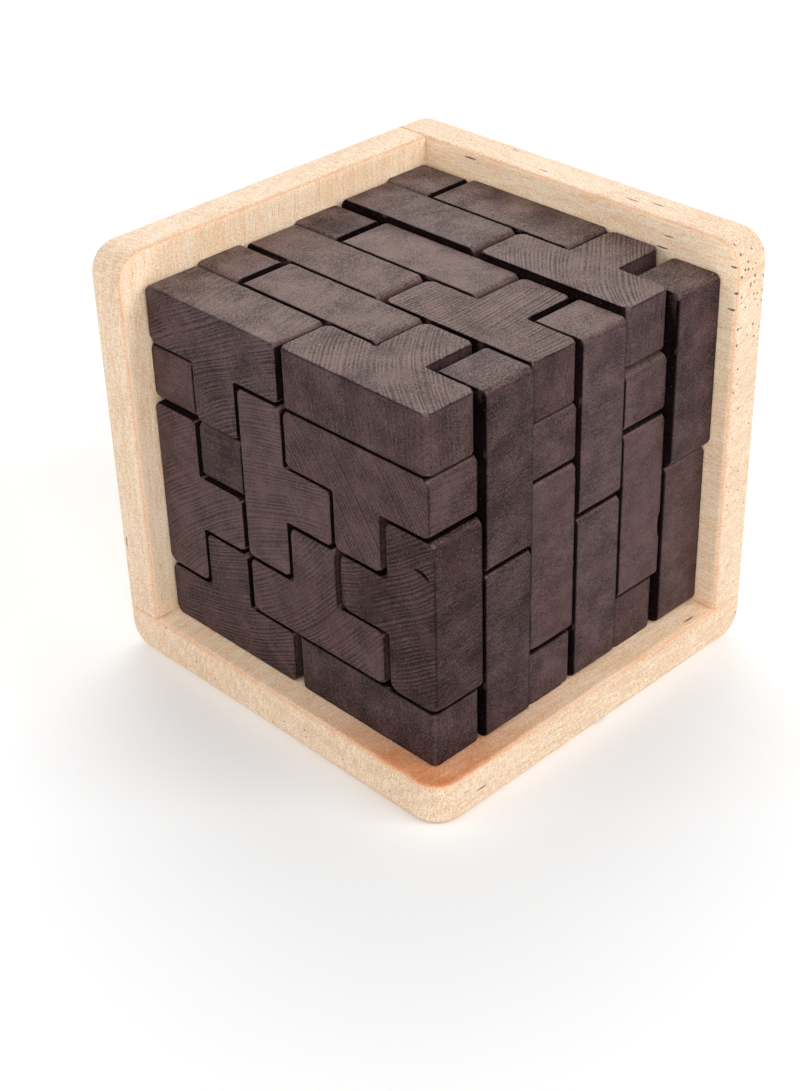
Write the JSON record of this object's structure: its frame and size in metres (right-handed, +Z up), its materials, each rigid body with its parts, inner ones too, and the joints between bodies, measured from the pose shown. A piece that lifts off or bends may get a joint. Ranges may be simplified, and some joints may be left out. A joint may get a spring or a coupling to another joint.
{
  "type": "wooden packing puzzle",
  "caption": "Cube packed from identical dark wooden T-blocks, standing in a pale wooden tray of a floor and two walls; each block slides out along its own free way.",
  "frame": {"origin": "middle of the tray footprint, on the surface the tray stands on", "axes": "+Z up; the walls are on the -X and +Y sides, and the tray is open towards +X, -Y and +Z"},
  "size_m": [0.071, 0.071, 0.0711],
  "materials": {
    "pale_wood": "unfinished sanded pale wood, cream on the sanded rims and warmer on the inner faces, fine grain, small dark flecks",
    "dark_wood": "matte dark grey-brown stained wood, fine pores, faint growth bands on the broad faces, lighter worn edges"
  },
  "bodies": {
    "tray": {"tray_floor": "pale_wood", "tray_left_wall": "pale_wood", "tray_right_wall": "pale_wood"},
    "front_top_right": {"front_top_right_block": "dark_wood"},
    "front_centre_post": {"front_centre_post_block": "dark_wood"},
    "front_upper_right": {"front_upper_right_block": "dark_wood"},
    "front_inner_post": {"front_inner_post_block": "dark_wood"},
    "front_corner_post": {"front_corner_post_block": "dark_wood"},
    "front_top_left": {"front_top_left_block": "dark_wood"},
    "front_top_rear": {"front_top_rear_block": "dark_wood"},
    "front_right_post": {"front_right_post_block": "dark_wood"},
    "front_lower_centre": {"front_lower_centre_block": "dark_wood"},
    "front_rear_upper": {"front_rear_upper_block": "dark_wood"},
    "front_upper_end_post": {"front_upper_end_post_block": "dark_wood"},
    "front_rear_left_post": {"front_rear_left_post_block": "dark_wood"},
    "front_left_post": {"front_left_post_block": "dark_wood"},
    "front_bottom_left": {"front_bottom_left_block": "dark_wood"},
    "front_rear_lower": {"front_rear_lower_block": "dark_wood"},
    "front_bottom_right": {"front_bottom_right_block": "dark_wood"},
    "front_rear_middle": {"front_rear_middle_block": "dark_wood"},
    "front_lower_end_post": {"front_lower_end_post_block": "dark_wood"},
    "middle_top_right": {"middle_top_right_block": "dark_wood"},
    "middle_bottom_left": {"middle_bottom_left_block": "dark_wood"},
    "middle_centre_post": {"middle_centre_post_block": "dark_wood"},
    "middle_lower_centre": {"middle_lower_centre_block": "dark_wood"},
    "middle_upper_right": {"middle_upper_right_block": "dark_wood"},
    "middle_right_post": {"middle_right_post_block": "dark_wood"},
    "middle_rear_lower": {"middle_rear_lower_block": "dark_wood"},
    "middle_rear_middle": {"middle_rear_middle_block": "dark_wood"},
    "middle_bottom_right": {"middle_bottom_right_block": "dark_wood"},
    "middle_lower_end_post": {"middle_lower_end_post_block": "dark_wood"},
    "middle_rear_upper": {"middle_rear_upper_block": "dark_wood"},
    "middle_upper_end_post": {"middle_upper_end_post_block": "dark_wood"},
    "middle_rear_left_post": {"middle_rear_left_post_block": "dark_wood"},
    "middle_left_post": {"middle_left_post_block": "dark_wood"},
    "middle_inner_post": {"middle_inner_post_block": "dark_wood"},
    "middle_corner_post": {"middle_corner_post_block": "dark_wood"},
    "middle_top_left": {"middle_top_left_block": "dark_wood"},
    "middle_top_rear": {"middle_top_rear_block": "dark_wood"},
    "back_top_right": {"back_top_right_block": "dark_wood"},
    "back_bottom_left": {"back_bottom_left_block": "dark_wood"},
    "back_centre_post": {"back_centre_post_block": "dark_wood"},
    "back_lower_centre": {"back_lower_centre_block": "dark_wood"},
    "back_upper_right": {"back_upper_right_block": "dark_wood"},
    "back_right_post": {"back_right_post_block": "dark_wood"},
    "back_rear_lower": {"back_rear_lower_block": "dark_wood"},
    "back_rear_middle": {"back_rear_middle_block": "dark_wood"},
    "back_bottom_right": {"back_bottom_right_block": "dark_wood"},
    "back_lower_end_post": {"back_lower_end_post_block": "dark_wood"},
    "back_rear_upper": {"back_rear_upper_block": "dark_wood"},
    "back_upper_end_post": {"back_upper_end_post_block": "dark_wood"},
    "back_rear_left_post": {"back_rear_left_post_block": "dark_wood"},
    "back_left_post": {"back_left_post_block": "dark_wood"},
    "back_inner_post": {"back_inner_post_block": "dark_wood"},
    "back_corner_post": {"back_corner_post_block": "dark_wood"},
    "back_top_left": {"back_top_left_block": "dark_wood"},
    "back_top_rear": {"back_top_rear_block": "dark_wood"}
  },
  "joints": [
    {"name": "front_top_right_slide", "type": "slide", "parent": "tray", "child": "front_top_right", "axis": [0, 0, 1], "range_m": [0, 0.0148]},
    {"name": "front_centre_post_slide", "type": "slide", "parent": "tray", "child": "front_centre_post", "axis": [0, -1, 0], "range_m": [0, 0.015]},
    {"name": "front_upper_right_slide", "type": "slide", "parent": "tray", "child": "front_upper_right", "axis": [0, -1, 0], "range_m": [0, 0.015]},
    {"name": "front_inner_post_slide", "type": "slide", "parent": "tray", "child": "front_inner_post", "axis": [0, 0, 1], "range_m": [0, 0.0442]},
    {"name": "front_corner_post_slide", "type": "slide", "parent": "front_inner_post", "child": "front_corner_post", "axis": [0, 0, 1], "range_m": [0, 0.0344]},
    {"name": "front_top_left_slide", "type": "slide", "parent": "front_corner_post", "child": "front_top_left", "axis": [0, 0, 1], "range_m": [0, 0.0246]},
    {"name": "front_top_rear_slide", "type": "slide", "parent": "front_inner_post", "child": "front_top_rear", "axis": [0, 0, 1], "range_m": [0, 0.0246]},
    {"name": "front_right_post_slide", "type": "slide", "parent": "tray", "child": "front_right_post", "axis": [1, 0, 0], "range_m": [-0.00035, 0.025]},
    {"name": "front_lower_centre_slide", "type": "slide", "parent": "tray", "child": "front_lower_centre", "axis": [0, -1, 0], "range_m": [0, 0.015]},
    {"name": "front_rear_upper_slide", "type": "slide", "parent": "tray", "child": "front_rear_upper", "axis": [1, 0, 0], "range_m": [0, 0.045]},
    {"name": "front_upper_end_post_slide", "type": "slide", "parent": "front_rear_upper", "child": "front_upper_end_post", "axis": [1, 0, 0], "range_m": [-0.0006, 0.025]},
    {"name": "front_rear_left_post_slide", "type": "slide", "parent": "tray", "child": "front_rear_left_post", "axis": [0, -1, 0], "range_m": [0, 0.025]},
    {"name": "front_left_post_slide", "type": "slide", "parent": "front_rear_left_post", "child": "front_left_post", "axis": [0, -1, 0], "range_m": [0, 0.015]},
    {"name": "front_bottom_left_slide", "type": "slide", "parent": "front_rear_left_post", "child": "front_bottom_left", "axis": [0, -1, 0], "range_m": [0, 0.015]},
    {"name": "front_rear_lower_slide", "type": "slide", "parent": "tray", "child": "front_rear_lower", "axis": [1, 0, 0], "range_m": [0, 0.055]},
    {"name": "front_bottom_right_slide", "type": "slide", "parent": "front_rear_lower", "child": "front_bottom_right", "axis": [0, -1, 0], "range_m": [0, 0.025]},
    {"name": "front_rear_middle_slide", "type": "slide", "parent": "front_rear_lower", "child": "front_rear_middle", "axis": [1, 0, 0], "range_m": [0, 0.045]},
    {"name": "front_lower_end_post_slide", "type": "slide", "parent": "front_rear_middle", "child": "front_lower_end_post", "axis": [1, 0, 0], "range_m": [-0.00045, 0.025]},
    {"name": "middle_top_right_slide", "type": "slide", "parent": "tray", "child": "middle_top_right", "axis": [0, 0, 1], "range_m": [0, 0.0148]},
    {"name": "middle_bottom_left_slide", "type": "slide", "parent": "tray", "child": "middle_bottom_left", "axis": [1, 0, 0], "range_m": [0, 0.065]},
    {"name": "middle_centre_post_slide", "type": "slide", "parent": "middle_bottom_left", "child": "middle_centre_post", "axis": [1, 0, 0], "range_m": [0, 0.045]},
    {"name": "middle_lower_centre_slide", "type": "slide", "parent": "middle_centre_post", "child": "middle_lower_centre", "axis": [1, 0, 0], "range_m": [0, 0.045]},
    {"name": "middle_upper_right_slide", "type": "slide", "parent": "middle_lower_centre", "child": "middle_upper_right", "axis": [1, 0, 0], "range_m": [0, 0.035]},
    {"name": "middle_right_post_slide", "type": "slide", "parent": "middle_upper_right", "child": "middle_right_post", "axis": [1, 0, 0], "range_m": [0, 0.025]},
    {"name": "middle_rear_lower_slide", "type": "slide", "parent": "middle_bottom_left", "child": "middle_rear_lower", "axis": [1, 0, 0], "range_m": [0, 0.055]},
    {"name": "middle_rear_middle_slide", "type": "slide", "parent": "middle_rear_lower", "child": "middle_rear_middle", "axis": [1, 0, 0], "range_m": [0, 0.045]},
    {"name": "middle_bottom_right_slide", "type": "slide", "parent": "middle_rear_middle", "child": "middle_bottom_right", "axis": [1, 0, 0], "range_m": [0, 0.035]},
    {"name": "middle_lower_end_post_slide", "type": "slide", "parent": "middle_bottom_right", "child": "middle_lower_end_post", "axis": [1, 0, 0], "range_m": [0, 0.025]},
    {"name": "middle_rear_upper_slide", "type": "slide", "parent": "tray", "child": "middle_rear_upper", "axis": [1, 0, 0], "range_m": [0, 0.045]},
    {"name": "middle_upper_end_post_slide", "type": "slide", "parent": "middle_rear_upper", "child": "middle_upper_end_post", "axis": [1, 0, 0], "range_m": [-0.0002, 0.025]},
    {"name": "middle_rear_left_post_slide", "type": "slide", "parent": "tray", "child": "middle_rear_left_post", "axis": [0, 0, 1], "range_m": [0, 0.0638]},
    {"name": "middle_left_post_slide", "type": "slide", "parent": "middle_rear_left_post", "child": "middle_left_post", "axis": [0, 0, 1], "range_m": [0, 0.054]},
    {"name": "middle_inner_post_slide", "type": "slide", "parent": "middle_left_post", "child": "middle_inner_post", "axis": [0, 0, 1], "range_m": [0, 0.0442]},
    {"name": "middle_corner_post_slide", "type": "slide", "parent": "middle_inner_post", "child": "middle_corner_post", "axis": [0, 0, 1], "range_m": [0, 0.0344]},
    {"name": "middle_top_left_slide", "type": "slide", "parent": "middle_corner_post", "child": "middle_top_left", "axis": [0, 0, 1], "range_m": [0, 0.0246]},
    {"name": "middle_top_rear_slide", "type": "slide", "parent": "middle_inner_post", "child": "middle_top_rear", "axis": [0, 0, 1], "range_m": [0, 0.0246]},
    {"name": "back_top_right_slide", "type": "slide", "parent": "tray", "child": "back_top_right", "axis": [0, 0, 1], "range_m": [0, 0.0148]},
    {"name": "back_bottom_left_slide", "type": "slide", "parent": "tray", "child": "back_bottom_left", "axis": [1, 0, 0], "range_m": [0, 0.065]},
    {"name": "back_centre_post_slide", "type": "slide", "parent": "back_bottom_left", "child": "back_centre_post", "axis": [1, 0, 0], "range_m": [0, 0.045]},
    {"name": "back_lower_centre_slide", "type": "slide", "parent": "back_centre_post", "child": "back_lower_centre", "axis": [1, 0, 0], "range_m": [0, 0.045]},
    {"name": "back_upper_right_slide", "type": "slide", "parent": "back_lower_centre", "child": "back_upper_right", "axis": [1, 0, 0], "range_m": [-0.0002, 0.035]},
    {"name": "back_right_post_slide", "type": "slide", "parent": "back_upper_right", "child": "back_right_post", "axis": [1, 0, 0], "range_m": [0, 0.025]},
    {"name": "back_rear_lower_slide", "type": "slide", "parent": "back_bottom_left", "child": "back_rear_lower", "axis": [1, 0, 0], "range_m": [0, 0.055]},
    {"name": "back_rear_middle_slide", "type": "slide", "parent": "back_rear_lower", "child": "back_rear_middle", "axis": [1, 0, 0], "range_m": [0, 0.045]},
    {"name": "back_bottom_right_slide", "type": "slide", "parent": "back_rear_middle", "child": "back_bottom_right", "axis": [1, 0, 0], "range_m": [0, 0.035]},
    {"name": "back_lower_end_post_slide", "type": "slide", "parent": "back_bottom_right", "child": "back_lower_end_post", "axis": [1, 0, 0], "range_m": [-0.00025, 0.025]},
    {"name": "back_rear_upper_slide", "type": "slide", "parent": "tray", "child": "back_rear_upper", "axis": [1, 0, 0], "range_m": [0, 0.045]},
    {"name": "back_upper_end_post_slide", "type": "slide", "parent": "back_rear_upper", "child": "back_upper_end_post", "axis": [1, 0, 0], "range_m": [-0.0012, 0.025]},
    {"name": "back_rear_left_post_slide", "type": "slide", "parent": "tray", "child": "back_rear_left_post", "axis": [0, 0, 1], "range_m": [0, 0.0638]},
    {"name": "back_left_post_slide", "type": "slide", "parent": "back_rear_left_post", "child": "back_left_post", "axis": [0, 0, 1], "range_m": [0, 0.054]},
    {"name": "back_inner_post_slide", "type": "slide", "parent": "back_left_post", "child": "back_inner_post", "axis": [0, 0, 1], "range_m": [0, 0.0442]},
    {"name": "back_corner_post_slide", "type": "slide", "parent": "back_inner_post", "child": "back_corner_post", "axis": [0, 0, 1], "range_m": [0, 0.0344]},
    {"name": "back_top_left_slide", "type": "slide", "parent": "back_corner_post", "child": "back_top_left", "axis": [0, 0, 1], "range_m": [0, 0.0246]},
    {"name": "back_top_rear_slide", "type": "slide", "parent": "back_inner_post", "child": "back_top_rear", "axis": [0, 0, 1], "range_m": [0, 0.0246]}
  ]
}
